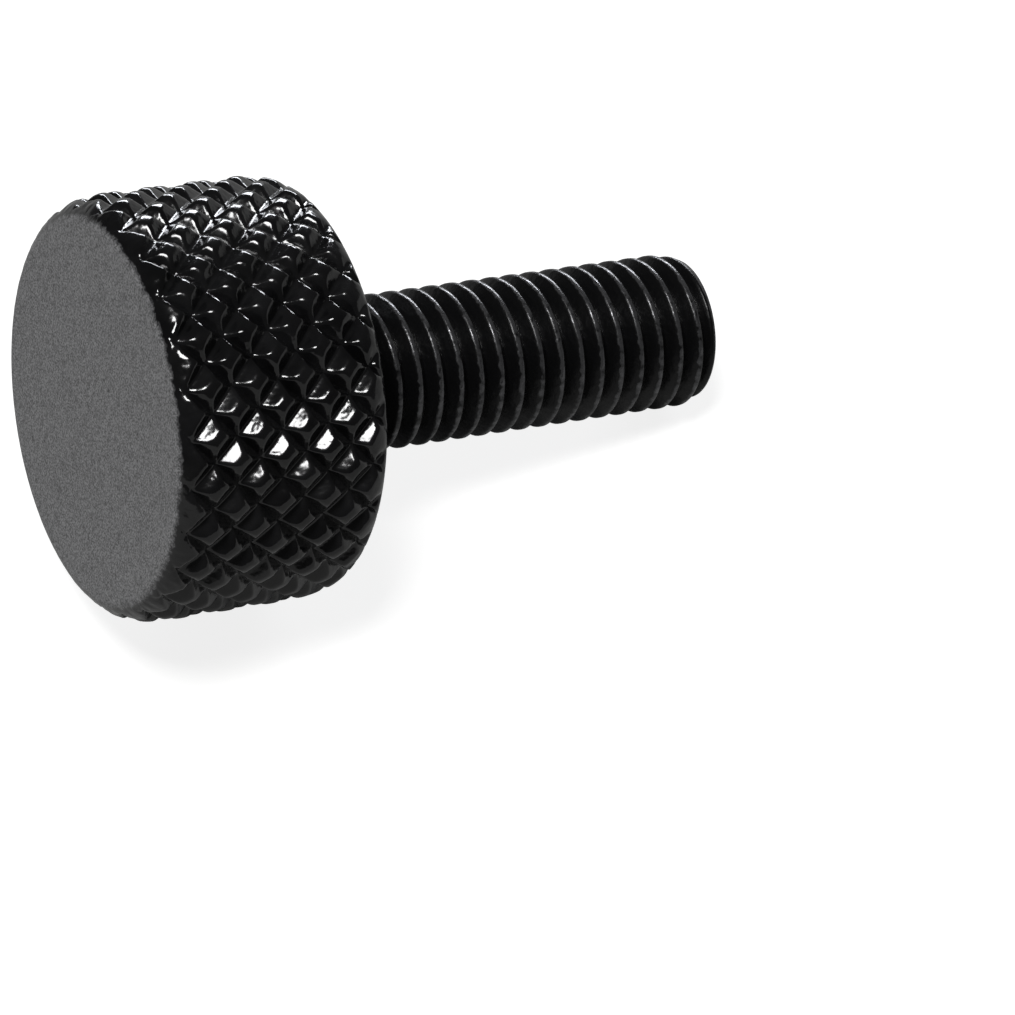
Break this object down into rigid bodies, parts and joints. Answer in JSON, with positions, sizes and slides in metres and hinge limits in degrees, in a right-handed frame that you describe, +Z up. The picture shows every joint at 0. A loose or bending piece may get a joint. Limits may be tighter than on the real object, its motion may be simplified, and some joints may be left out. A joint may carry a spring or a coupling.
{
  "type": "seat mounting knob",
  "caption": "One-piece knob screw: a cylindrical diamond-knurled head with a flat face on a fine-threaded shank, turned by hand to clamp a seat to its frame.",
  "frame": {"origin": "centre of the footprint, on the surface that the knob lies on", "axes": "+Z up, +X along the screw's axis seen from above, from the head towards the tip"},
  "size_m": [0.028, 0.0166, 0.0178],
  "materials": {
    "black_coated_steel": "gloss black coat over turned and knurled steel"
  },
  "bodies": {
    "root": {"knurled_knob": "black_coated_steel"}
  },
  "joints": []
}
